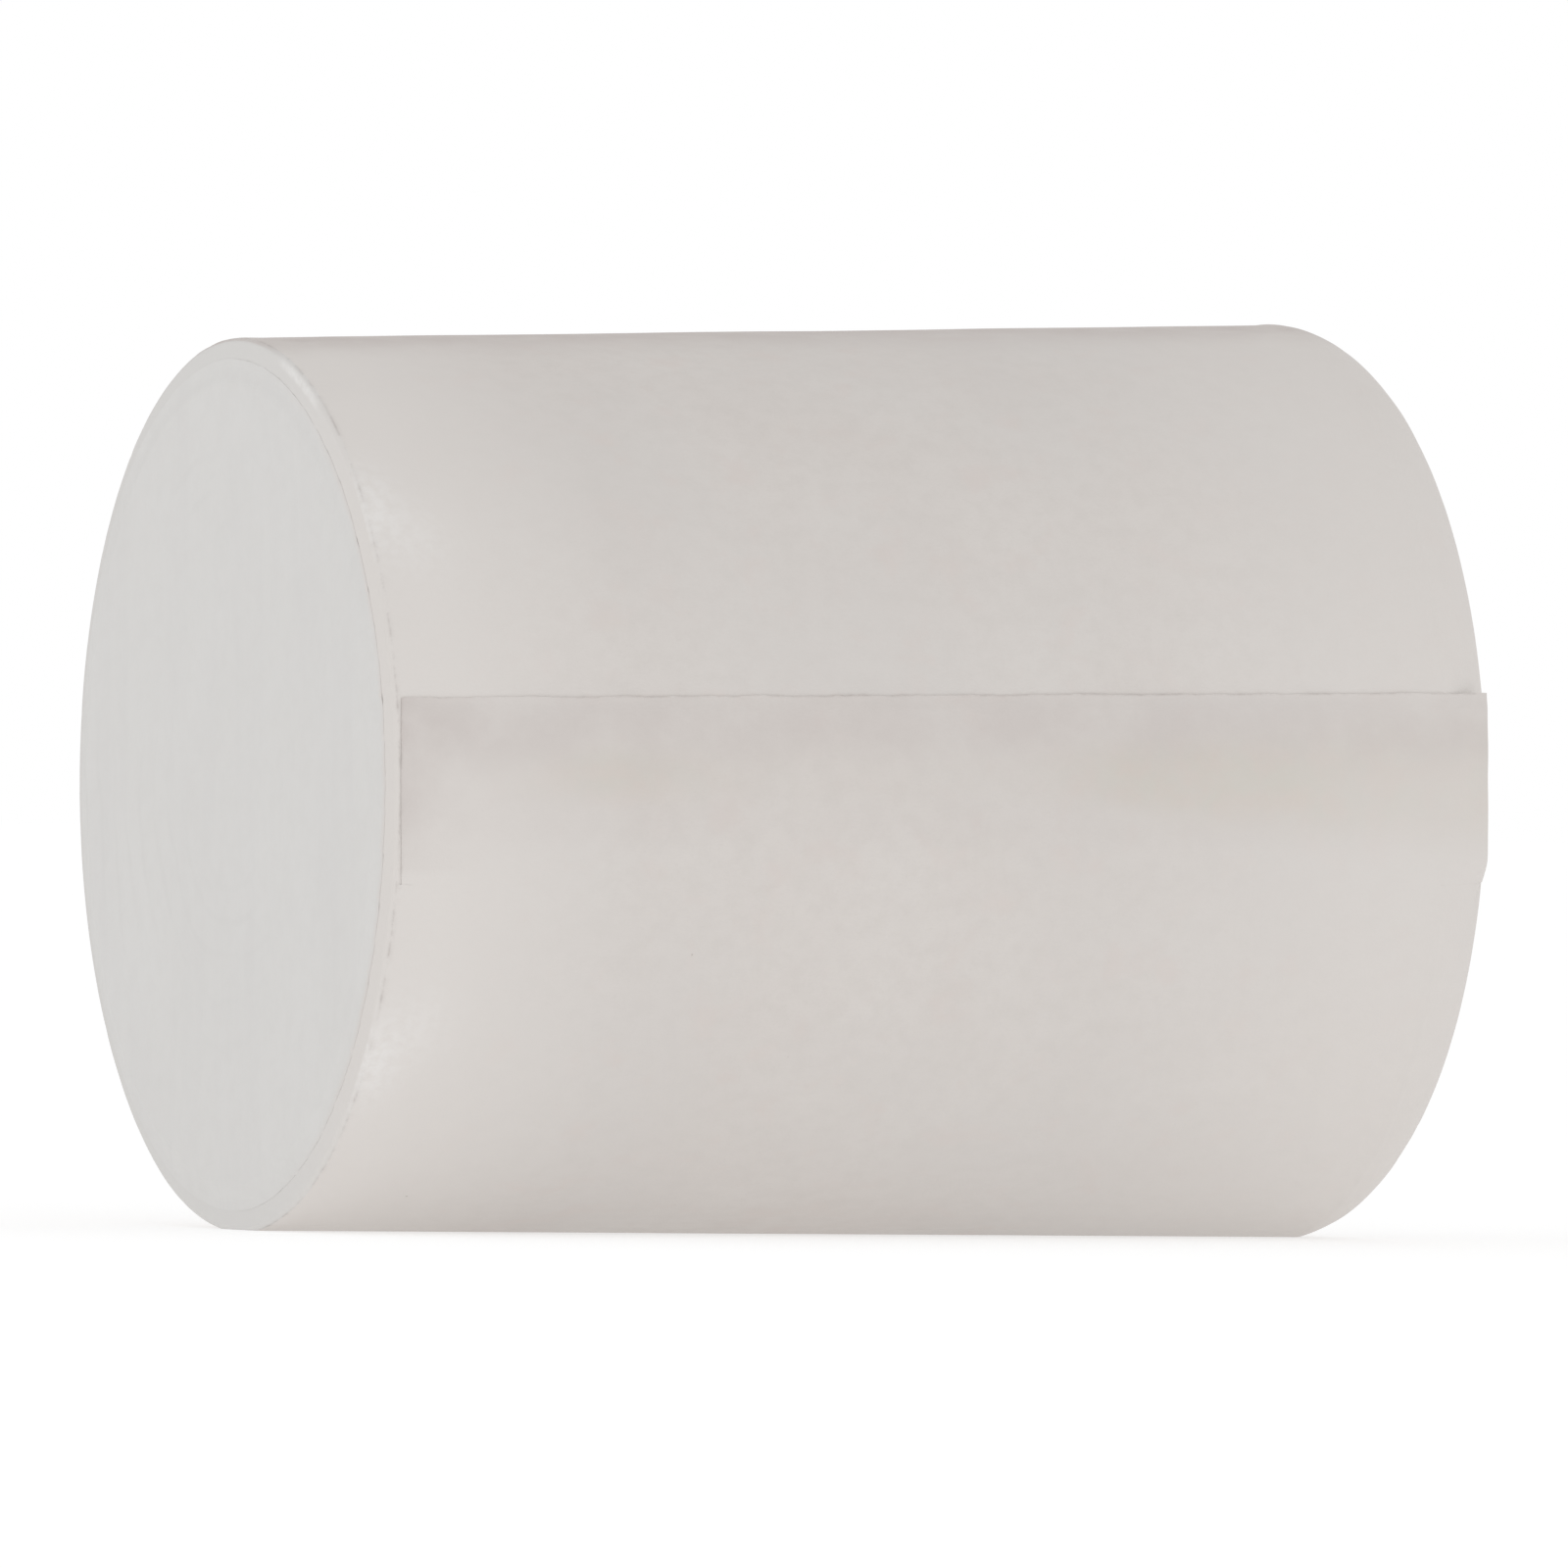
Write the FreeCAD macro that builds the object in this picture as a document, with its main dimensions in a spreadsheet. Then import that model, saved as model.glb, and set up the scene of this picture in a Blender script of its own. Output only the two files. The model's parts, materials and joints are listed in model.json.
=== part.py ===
import FreeCAD, Part
import math
import os
import Sketcher

# A short, fat roll of white background paper in its shipping wrap, lying on its side.
#
# The web is wound on a board core tube.  A board ring covers each end of the web.  A paper wrapper goes
# round the whole roll, its ends are folded in over the rings, and a paper disc is glued over each fold.
# The loose edge of the wrapper laps over itself along the front of the roll and can be peeled open.
#
# Roll frame, in which every piece is drawn: the X axis is the axis of the roll, the origin is its middle,
# and the roll is slightly conical, thicker towards +X.  The pieces are then tipped together until the
# settled underside lies level on the floor, Z = 0, with the middle of the roll above the origin.
# Places around the roll are angles in degrees up from the front (-Y), so 90 is the top.

DIMENSIONS = {
    # whole roll, in millimetres
    "paper_width": 305,             # width of the sheet, so length of the wound web
    "middle_radius": 120,           # outside of the wrapper halfway along
    "radius_growth": 4.8,           # how much larger the right end's radius is than the left end's
    "flat_depth_left": 0.7,         # how far the underside has settled flat at each end
    "flat_depth_right": 1.3,
    # core tube
    "core_bore_radius": 38.1,       # 3 in core
    "core_wall": 6,
    "core_clearance": 0.25,         # core to the first turn, room for the starting tape
    "start_tape_angle": 32,
    # wrapper, wound as three turns
    "wrap_thickness": 0.9,
    "wrap_clearance": 0.4,          # web to wrapper, room for the tail tapes
    "crimp_thickness": 1.2,         # folded pleats over each end
    "crimp_depth": 55,              # how far the folds reach in from the rim
    "crimp_stagger": 2,             # how much further the innermost turn's fold reaches than the outer's
    "left_rim_radius": 1.5,         # crisp rim
    "right_rim_radius": 18,         # slack, rounded rim
    # end covers
    "ring_thickness": 2,            # board ring under the folds
    "ring_hole_clearance": 2.5,     # hole larger than the core's bore
    "ring_inset": 4,                # smaller than the roll's rim
    "disc_thickness": 0.8,          # paper disc over the folds
    "disc_margin_left": 5.5,        # fold left showing around the disc
    "disc_margin_right": 22.4,
    "disc_shift_left": 2.7,         # how far off centre, to the back, the left disc is glued
    "disc_gap": 0.3,                # folds to disc
    "glue_inset": 5,                # glue ring from the edges of the folds and the disc
    # tapes and glue
    "tape_thickness": 0.1,
    "glue_thickness": 0.1,
    "laid_gap": 0.02,               # air under a tape or a line of glue
    "tail_tape_width": 25,
    "tail_tape_length": 60,         # along the turn
    "tail_tape_spacing": 180,       # between the centres of the two tapes
    # lap along the front
    "lap_width": 48,
    "lap_thickness": 0.3,
    "lap_gap": 0.42,                # wrapper to the lap, over the glue
    "lap_inset_left": 2,            # lap's cut edges from the roll's end faces
    "lap_inset_right": 5.4,
    "hinge_gap": 0.3,               # between one strip of the lap and the next
    "lip_width": 6,                 # where the wrapper climbs onto the lap
    "lip_root": 0.4,                # how deep the lip is rooted in the wrapper
    "lap_glue_margin": 12,          # glue from the lap's edges
}
LAP_STRIPS = ["flap_root", "flap_middle", "flap_tip"]

document = FreeCAD.newDocument("wrapped_paper_roll")
sizes = document.addObject("Spreadsheet::Sheet", "Sizes")
workings = document.addObject("Spreadsheet::Sheet", "Workings")
for row, (alias, number) in enumerate(DIMENSIONS.items(), start=1):
    sizes.set(f"A{row}", alias)
    sizes.set(f"B{row}", str(number))
    sizes.setAlias(f"B{row}", alias)
document.recompute()


def value(expression):
    """Number that an expression on the sheet gives now."""
    workings.set("A1", f"={expression}")
    workings.recompute()
    return float(workings.get("A1"))


# Places along the roll's axis, as expressions on the sheet
WEB_END = "(Sizes.paper_width / 2)"
RING_FACE = f"({WEB_END} + Sizes.ring_thickness)"
FOLD_FACE = f"({RING_FACE} + Sizes.crimp_thickness)"
DISC_FACE = f"({FOLD_FACE} + Sizes.disc_gap)"
DISC_OUTSIDE = f"({DISC_FACE} + Sizes.disc_thickness)"
BEYOND_ENDS = f"(2 * {FOLD_FACE})"

# Distances from the roll's axis, as expressions on the sheet
CORE_OUTSIDE = "(Sizes.core_bore_radius + Sizes.core_wall)"
WEB_INSIDE = f"({CORE_OUTSIDE} + Sizes.core_clearance)"
RING_HOLE = "(Sizes.core_bore_radius + Sizes.ring_hole_clearance)"
UNDER_WRAPPER = "Sizes.wrap_thickness"
UNDER_CLEARANCE = "(Sizes.wrap_thickness + Sizes.wrap_clearance)"
LAP_INSIDE = "(-Sizes.lap_gap)"
LAP_OUTSIDE = "(-Sizes.lap_gap - Sizes.lap_thickness)"


X_AXIS = FreeCAD.Vector(1, 0, 0)
Y_AXIS = FreeCAD.Vector(0, 1, 0)
# How far the underside, flat from end to end, drops from the left end to the right one
UNDERSIDE_DROP = "(Sizes.radius_growth - Sizes.flat_depth_right + Sizes.flat_depth_left)"
underside_slope = math.degrees(math.atan(value(f"{UNDERSIDE_DROP} / (2 * {FOLD_FACE})")))
underside_depth = value("Sizes.middle_radius - (Sizes.flat_depth_left + Sizes.flat_depth_right) / 2")


def cone_radius(along, depth="0"):
    """Radius of the roll's outside at a place along the axis, less a depth below that surface."""
    return f"(Sizes.middle_radius + Sizes.radius_growth * ({along}) / (2 * {FOLD_FACE}) - {depth})"


def fold_hole(end):
    """Radius of the opening that the folds leave in the end of the wrapper; end is -1 or 1."""
    return cone_radius(f"{end} * {FOLD_FACE}", "Sizes.crimp_depth")


def disc_radius(end):
    margin = "Sizes.disc_margin_left" if end < 0 else "Sizes.disc_margin_right"
    return cone_radius(f"{end} * {FOLD_FACE}", margin)


def ring_radius(end):
    """The board ring is smaller than the rim, and clear of the rounding on the slack side."""
    rounding = "0" if end < 0 else "Sizes.right_rim_radius"
    return cone_radius(f"{end} * {WEB_END}", f"(Sizes.ring_inset + {rounding})")


def arc_degrees(length, radius="Sizes.middle_radius"):
    """Angle that a length measured around the roll covers."""
    return f"(({length}) / ({radius}) * 180 / pi)"


HINGE_ANGLE = f"(-{arc_degrees('Sizes.lap_width / 2')})"
LAP_START = f"(-{FOLD_FACE} + Sizes.lap_inset_left)"
LAP_END = f"({FOLD_FACE} - Sizes.lap_inset_right)"


def origin_plane(body, role):
    return next(feature for feature in body.Origin.OriginFeatures if feature.Role == role)


def lengthwise_sketch(body, name, corners):
    """Closed outline in the body's XZ plane, from corners as (place along the axis, height) expressions."""
    sketch = body.newObject("Sketcher::SketchObject", name)
    sketch.AttachmentSupport = [(origin_plane(body, "XZ_Plane"), "")]
    sketch.MapMode = "FlatFace"
    places = [FreeCAD.Vector(value(along), value(height), 0) for along, height in corners]
    for start, end in zip(places, places[1:] + places[:1]):
        sketch.addGeometry(Part.LineSegment(start, end))
    for index in range(len(places)):
        following = (index + 1) % len(places)
        sketch.addConstraint(Sketcher.Constraint("Coincident", index, 2, following, 1))
    for index, ((along, height), place) in enumerate(zip(corners, places)):
        for direction, number, expression in (("X", place.x, along), ("Y", place.y, height)):
            distance = Sketcher.Constraint(f"Distance{direction}", -1, 1, index, 1, number)
            rule = sketch.addConstraint(distance)
            sketch.renameConstraint(rule, f"corner_{index}_{direction}")
            sketch.setExpression(f"Constraints.corner_{index}_{direction}", expression)
    return sketch


FULL_TURN = "360"


def turned_body(name, corners, sweep=FULL_TURN):
    """Outline turned about the axis, centred on the top of the roll if it doesn't go all the way round."""
    body = document.addObject("PartDesign::Body", name)
    sketch = lengthwise_sketch(body, name + "_outline", corners)
    turn = body.newObject("PartDesign::Revolution", name + "_turn")
    turn.Profile = sketch
    turn.ReferenceAxis = (sketch, ["H_Axis"])
    turn.Midplane = sweep != FULL_TURN
    turn.setExpression("Angle", sweep)
    document.recompute()
    return body


def ring_outline(start, end, inner, outer):
    """Corners of a ring with straight walls."""
    return [(start, inner), (end, inner), (end, outer), (start, outer)]


def shell_outline(start, end, inner_depth, outer_depth):
    """Corners of a shell that follows the roll's slope, between two depths below the outside."""
    return [
        (start, cone_radius(start, inner_depth)),
        (end, cone_radius(end, inner_depth)),
        (end, cone_radius(end, outer_depth)),
        (start, cone_radius(start, outer_depth)),
    ]


def round_rim(body, along, depth, rounding):
    """Rounds the circular edge where the outside at that depth meets an end face."""
    base = body.Tip
    radius = value(cone_radius(along, depth))
    rims = [
        f"Edge{number}"
        for number, edge in enumerate(base.Shape.Edges, start=1)
        if isinstance(edge.Curve, Part.Circle)
        and abs(edge.Curve.Radius - radius) < 1e-6
        and abs(edge.Curve.Center.x - value(along)) < 1e-6
    ]
    fillet = body.newObject("PartDesign::Fillet", body.Name + "_rounded_rim_" + str(len(body.Group)))
    fillet.Base = (base, rims)
    fillet.setExpression("Radius", rounding)
    document.recompute()


def settled_on_floor(body, depth):
    """Body with its underside planed off at the settled depth plus a given one."""
    # The floor is a block twice as long and as wide as the roll, with its top face at the cut.
    floor = document.addObject("Part::Box", body.Name + "_floor")
    floor.setExpression("Length", f"4 * {FOLD_FACE}")
    floor.setExpression("Width", "4 * Sizes.middle_radius")
    floor.setExpression("Height", "Sizes.middle_radius")
    thickness = value("Sizes.middle_radius")
    corner = FreeCAD.Vector(-2 * value(FOLD_FACE), -2 * thickness, -thickness)
    drop = FreeCAD.Vector(0, 0, value(depth) - underside_depth)
    slope = FreeCAD.Placement(drop, FreeCAD.Rotation(Y_AXIS, underside_slope))
    floor.Placement = slope.multiply(FreeCAD.Placement(corner, FreeCAD.Rotation()))
    settled = document.addObject("Part::Cut", body.Name + "_settled")
    settled.Base = body
    settled.Tool = floor
    document.recompute()
    if settled.Shape.Volume >= body.Shape.Volume:
        raise RuntimeError(body.Name + ": the floor removed nothing")
    return settled


def left(along):
    return f"(-{along})"


# --- Pieces ------------------------------------------------------------------------------------------
# Each entry is the sub-part's object and its placement on the roll.
TOP = 90
FRONT = 0
WEB_TAIL = 150      # on the back, where the web's last turn ends
pieces = {}


def turned_about_axis(angle):
    """Placement that carries what was drawn about the top round the roll to an angle."""
    return FreeCAD.Placement(FreeCAD.Vector(), FreeCAD.Rotation(X_AXIS, TOP - angle))


def moved_back(distance):
    """Placement that carries what was drawn on the axis towards the back of the roll."""
    return FreeCAD.Placement(distance * Y_AXIS, FreeCAD.Rotation())


def add_piece(name, item, placement=FreeCAD.Placement()):
    item.Label = name
    pieces[name] = (item, placement)


def make_core():
    add_piece("core_tube", turned_body(
        "core_body", ring_outline(left(WEB_END), WEB_END, "Sizes.core_bore_radius", CORE_OUTSIDE)))
    under_tape = f"({CORE_OUTSIDE} + Sizes.laid_gap)"
    add_piece("core_start_tape", turned_body(
        "start_tape_body",
        ring_outline(left(WEB_END), WEB_END, under_tape, f"({under_tape} + Sizes.tape_thickness)"),
        "Sizes.start_tape_angle"))


def make_web():
    """The wound paper, one solid from the first turn to the last."""
    corners = [
        (left(WEB_END), WEB_INSIDE),
        (WEB_END, WEB_INSIDE),
        (WEB_END, cone_radius(WEB_END, UNDER_CLEARANCE)),
        (left(WEB_END), cone_radius(left(WEB_END), UNDER_CLEARANCE)),
    ]
    body = turned_body("web_body", corners)
    round_rim(body, WEB_END, UNDER_CLEARANCE, f"Sizes.right_rim_radius - {UNDER_CLEARANCE}")
    add_piece("paper_web", settled_on_floor(body, UNDER_CLEARANCE))


def make_tail_tapes():
    """Two tapes that hold the last turn of the web down, one near each end."""
    tape_top = f"({UNDER_CLEARANCE} - Sizes.laid_gap - Sizes.tape_thickness)"
    tape_bottom = f"({UNDER_CLEARANCE} - Sizes.laid_gap)"
    for name, end in (("tail_tape_left", -1), ("tail_tape_right", 1)):
        middle = f"({end} * Sizes.tail_tape_spacing / 2)"
        corners = shell_outline(
            f"({middle} - Sizes.tail_tape_width / 2)", f"({middle} + Sizes.tail_tape_width / 2)",
            tape_bottom, tape_top)
        body = turned_body(name + "_body", corners, arc_degrees("Sizes.tail_tape_length"))
        add_piece(name, body, turned_about_axis(WEB_TAIL))


def make_wrapper():
    """Closed paper shell with folded ends, and a raised lip where its outer turn climbs onto the lap."""
    outside = turned_body("wrapper_outside", [
        (left(FOLD_FACE), "0"),
        (FOLD_FACE, "0"),
        (FOLD_FACE, cone_radius(FOLD_FACE)),
        (left(FOLD_FACE), cone_radius(left(FOLD_FACE))),
    ])
    round_rim(outside, left(FOLD_FACE), "0", "Sizes.left_rim_radius")
    round_rim(outside, FOLD_FACE, "0", "Sizes.right_rim_radius")

    inside = turned_body("wrapper_inside", [
        (left(RING_FACE), "0"),
        (RING_FACE, "0"),
        (RING_FACE, cone_radius(RING_FACE, UNDER_WRAPPER)),
        (left(RING_FACE), cone_radius(left(RING_FACE), UNDER_WRAPPER)),
    ])
    round_rim(inside, RING_FACE, UNDER_WRAPPER, f"Sizes.right_rim_radius - {UNDER_WRAPPER}")

    openings = []
    for side, end in (("left", -1), ("right", 1)):
        innermost_edge = f"({fold_hole(end)} - Sizes.crimp_stagger)"
        openings.append(turned_body(f"wrapper_opening_{side}", [
            (f"({end} * {WEB_END})", "0"),
            (f"({end} * {BEYOND_ENDS})", "0"),
            (f"({end} * {BEYOND_ENDS})", fold_hole(end)),
            (f"({end} * {FOLD_FACE})", fold_hole(end)),
            (f"({end} * {RING_FACE})", innermost_edge),
            (f"({end} * {WEB_END})", innermost_edge),
        ]))
    hollow = document.addObject("Part::MultiFuse", "wrapper_hollow")
    hollow.Shapes = [settled_on_floor(inside, UNDER_WRAPPER), *openings]
    shell = document.addObject("Part::Cut", "wrapper_shell")
    shell.Base = settled_on_floor(outside, "0")
    shell.Tool = hollow

    lip = turned_body(
        "wrapper_lip",
        shell_outline(LAP_START, LAP_END, "Sizes.lip_root", LAP_OUTSIDE),
        arc_degrees("Sizes.lip_width"))
    lip_middle = value(f"{HINGE_ANGLE} - {arc_degrees('(Sizes.lip_width + Sizes.hinge_gap) / 2')}")
    lip.Placement = turned_about_axis(lip_middle)
    wrapper = document.addObject("Part::Fuse", "wrapper_with_lip")
    wrapper.Base = shell
    wrapper.Tool = lip
    add_piece("wrapper", wrapper)


def make_end_covers():
    """Board ring under the folds, glue on them and paper disc over them, at each end."""
    for side, end, disc_shift in (("left", -1, "Sizes.disc_shift_left"), ("right", 1, "0")):
        def at(along):
            return f"({end} * {along})"

        add_piece(f"inner_ring_{side}", turned_body(
            f"ring_body_{side}", ring_outline(at(WEB_END), at(RING_FACE), RING_HOLE, ring_radius(end))))
        glue_face = f"({FOLD_FACE} + Sizes.glue_thickness)"
        add_piece(f"disc_glue_{side}", turned_body(
            f"glue_body_{side}", ring_outline(
                at(FOLD_FACE), at(glue_face),
                f"({fold_hole(end)} + Sizes.glue_inset)", f"({disc_radius(end)} - Sizes.glue_inset)")))
        disc = turned_body(
            f"disc_body_{side}", ring_outline(at(DISC_FACE), at(DISC_OUTSIDE), "0", disc_radius(end)))
        add_piece(f"end_disc_{side}", disc, moved_back(value(disc_shift)))


def make_lap():
    """Line of glue on the wrapper, and the lap over it as strips that hinge on one another."""
    glue_start = f"({LAP_START} + Sizes.lap_glue_margin)"
    glue_end = f"({FOLD_FACE} - Sizes.right_rim_radius - Sizes.lap_glue_margin)"
    glue_arc = arc_degrees("Sizes.lap_width - 2 * Sizes.lap_glue_margin")
    glue_corners = shell_outline(
        glue_start, glue_end, "(-Sizes.laid_gap)", "(-Sizes.laid_gap - Sizes.glue_thickness)")
    add_piece("lap_glue", turned_body("lap_glue_body", glue_corners, glue_arc), turned_about_axis(FRONT))

    for index, name in enumerate(LAP_STRIPS):
        body = turned_body(
            name + "_body", shell_outline(LAP_START, LAP_END, LAP_INSIDE, LAP_OUTSIDE),
            arc_degrees(f"Sizes.lap_width / {len(LAP_STRIPS)} - Sizes.hinge_gap"))
        middle = arc_degrees(f"Sizes.lap_width * {index + 0.5} / {len(LAP_STRIPS)}")
        add_piece(name, body, turned_about_axis(value(f"{HINGE_ANGLE} + {middle}")))


make_core()
make_web()
make_tail_tapes()
make_wrapper()
make_end_covers()
make_lap()

# The roll is tipped until the flat of its underside is level, and stands on it.
axis_height = underside_depth * math.cos(math.radians(underside_slope))
lying = FreeCAD.Placement(FreeCAD.Vector(0, 0, axis_height), FreeCAD.Rotation(Y_AXIS, -underside_slope))
for item, placement in pieces.values():
    item.Placement = lying.multiply(placement)
document.recompute()

for item in document.Objects:
    if "Invalid" in item.State or "Error" in item.State:
        raise RuntimeError(f"{item.Label} failed to build: {item.State}")
LOOSEST_EDGE = 0.01     # largest gap in mm between an edge and its faces
for name, (item, _) in pieces.items():
    if item.Shape.isNull() or not item.Shape.isValid() or len(item.Shape.Solids) != 1:
        raise RuntimeError(f"{name} is not one valid solid")
    if item.Shape.getTolerance(1) > LOOSEST_EDGE:
        raise RuntimeError(f"{name} has a loose edge")

os.makedirs("parts", exist_ok=True)
for name, (item, _) in pieces.items():
    item.Shape.exportStep(f"parts/{name}.step")
    print(f"{name}: {item.Shape.Volume:.1f} mm3")
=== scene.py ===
import json
import math

import bpy
import numpy as np
from mathutils import Matrix, Vector, noise


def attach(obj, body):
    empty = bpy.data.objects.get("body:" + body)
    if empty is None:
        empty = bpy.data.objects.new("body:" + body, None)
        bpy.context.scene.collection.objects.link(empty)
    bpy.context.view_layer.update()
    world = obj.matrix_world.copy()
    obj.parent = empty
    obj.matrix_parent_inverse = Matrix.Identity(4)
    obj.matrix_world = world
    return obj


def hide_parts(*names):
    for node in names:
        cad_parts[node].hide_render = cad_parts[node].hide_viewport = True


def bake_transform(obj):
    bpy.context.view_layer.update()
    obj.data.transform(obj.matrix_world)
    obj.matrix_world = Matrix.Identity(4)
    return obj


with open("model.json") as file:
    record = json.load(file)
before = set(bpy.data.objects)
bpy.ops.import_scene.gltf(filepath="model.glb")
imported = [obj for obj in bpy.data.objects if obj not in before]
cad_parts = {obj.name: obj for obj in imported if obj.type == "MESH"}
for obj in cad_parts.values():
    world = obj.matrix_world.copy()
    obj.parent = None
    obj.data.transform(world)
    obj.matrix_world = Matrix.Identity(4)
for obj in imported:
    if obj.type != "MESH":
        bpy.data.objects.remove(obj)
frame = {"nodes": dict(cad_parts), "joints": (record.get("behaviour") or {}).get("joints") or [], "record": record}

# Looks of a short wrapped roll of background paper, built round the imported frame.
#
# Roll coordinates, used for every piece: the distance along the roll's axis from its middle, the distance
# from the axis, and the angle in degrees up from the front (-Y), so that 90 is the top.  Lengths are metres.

for starter in ("Cube", "Light", "Camera"):
    if starter in bpy.data.objects:
        bpy.data.objects.remove(bpy.data.objects[starter])
bpy.context.view_layer.update()

MM = 0.001
FULL_TURN = 360
SHARP_EDGE = 50         # degrees between two faces from which their edge stays crisp

# --- Where things are, from the frame ------------------------------------------------------------------
mounts = {mount["name"]: mount for mount in frame["record"]["mounts"]}
left_mouth = Vector(mounts["core_bore_left"]["pos_m"])
right_mouth = Vector(mounts["core_bore_right"]["pos_m"])
MIDDLE = np.array((left_mouth + right_mouth) / 2)
ALONG = np.array((right_mouth - left_mouth).normalized())
FRONT = np.array((0.0, -1.0, 0.0))
UP = np.cross(FRONT, ALONG)


def place(along, radius, angle):
    """Places in the row frame from roll coordinates, which may be arrays."""
    along, radius, turn = np.broadcast_arrays(along, radius, np.radians(angle))
    flat = [values.ravel()[:, None] for values in (along, radius * np.cos(turn), radius * np.sin(turn))]
    return MIDDLE + flat[0] * ALONG + flat[1] * FRONT + flat[2] * UP


def measured(node):
    """Roll coordinates of the corners of a CAD node."""
    points = np.array([corner.co for corner in frame["nodes"][node].data.vertices], float) - MIDDLE
    front, up = points @ FRONT, points @ UP
    return points @ ALONG, np.hypot(front, up), np.degrees(np.arctan2(up, front))


HAIR = 0.01 * MM        # difference that counts as none
LAP_GAP = 0.42 * MM     # from the wrapper to the lap over it

lap_along, lap_radius, _ = measured("flap_root")
LAP_START, LAP_END = lap_along.min(), lap_along.max()
start_radii = lap_radius[lap_along < LAP_START + HAIR]
end_radii = lap_radius[lap_along > LAP_END - HAIR]
LAP_SHEET = start_radii.max() - start_radii.min()
LAP_RISE = LAP_GAP + LAP_SHEET
SLOPE = (end_radii.max() - start_radii.max()) / (LAP_END - LAP_START)
LAP_TOP = measured("flap_tip")[2].max()
HINGES = []
for joint in frame["joints"]:
    if joint["type"] == "hinge":
        pivot = np.array(joint["pos_m"]) - MIDDLE
        HINGES.append(math.degrees(math.atan2(pivot @ UP, pivot @ FRONT)))

wrapper_along, wrapper_radius, _ = measured("wrapper")
FOLD_FACE = wrapper_along.max()
HOLE = {
    -1: wrapper_radius[wrapper_along < HAIR - FOLD_FACE].min(),
    1: wrapper_radius[wrapper_along > FOLD_FACE - HAIR].min(),
}


def outside(along):
    """Radius of the wrapper's outside."""
    return start_radii.max() - LAP_RISE + SLOPE * (np.asarray(along) - LAP_START)


# --- Helpers --------------------------------------------------------------------------------------------
def ease(low, high, values):
    """0 below low, 1 above high, smooth in between; low may be the larger."""
    share = np.clip((np.asarray(values, float) - low) / (high - low), 0, 1)
    return share * share * (3 - 2 * share)


def rough(points, size, seed):
    """Smooth noise of about -1 to 1 over places in the row frame, with features of that size."""
    shift = Vector((17.3 * seed, 5.1 * seed, 9.7 * seed))
    return np.array([noise.noise(Vector(point) / size + shift) for point in points])


def lump(along, angle, spot):
    """A smooth lump; spot is its place along, its angle, its half sizes along and around, and its height."""
    middle, turn, half_along, half_around, height = spot
    around = (np.asarray(angle) - turn + FULL_TURN / 2) % FULL_TURN - FULL_TURN / 2
    around = np.radians(around) * outside(middle)
    distance = ((along - middle) / half_along) ** 2 + (around / half_around) ** 2
    return height * np.exp(-distance)


def make_mesh(name, places, faces, attributes, smooth=True):
    """Mesh object from places and faces, with named values stored at its points."""
    mesh = bpy.data.meshes.new(name)
    mesh.from_pydata(np.asarray(places).tolist(), [], faces)
    mesh.validate()
    for label, values in attributes.items():
        kind, field = ("FLOAT_VECTOR", "vector") if np.ndim(values) == 2 else ("FLOAT", "value")
        layer = mesh.attributes.new(label, kind, "POINT")
        layer.data.foreach_set(field, np.asarray(values, np.float32).ravel())
    mesh.polygons.foreach_set("use_smooth", [smooth] * len(mesh.polygons))
    piece = bpy.data.objects.new(name, mesh)
    bpy.context.scene.collection.objects.link(piece)
    return piece


def grid_faces(rows, columns, first=0, flip=False, closed=False):
    """Four-sided faces of a grid whose points run column by column within each row; closed rows are rings."""
    faces = []
    for row in range(rows - 1):
        start = first + row * columns
        for column in range(columns if closed else columns - 1):
            here, following = start + column, start + (column + 1) % columns
            face = (here, following, following + columns, here + columns)
            faces.append(face[::-1] if flip else face)
    return faces


def mark_sharp(mesh):
    """Keep cut edges crisp while the sheet is shaded smooth."""
    mesh.set_sharp_from_angle(angle=math.radians(SHARP_EDGE))


# --- Shape of the paper's surface -----------------------------------------------------------------------
# Lumps and dents: place along, angle, half size along, half size around, height
SOFT_LUMPS = [
    (-143 * MM, 38, 7 * MM, 12 * MM, 0.75 * MM),
    (-140 * MM, 27, 6 * MM, 8 * MM, 0.4 * MM),
    (-146 * MM, 60, 8 * MM, 7 * MM, 0.5 * MM),
    (-144 * MM, -38, 7 * MM, 12 * MM, 0.7 * MM),
    (-128 * MM, 52, 18 * MM, 9 * MM, -0.3 * MM),
    (120 * MM, 40, 30 * MM, 26 * MM, -0.35 * MM),
    (95 * MM, -35, 34 * MM, 22 * MM, -0.35 * MM),
    (40 * MM, 120, 40 * MM, 25 * MM, -0.4 * MM),
    (-60 * MM, 165, 35 * MM, 25 * MM, -0.4 * MM),
    (70 * MM, 200, 40 * MM, 30 * MM, -0.4 * MM),
]
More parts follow.
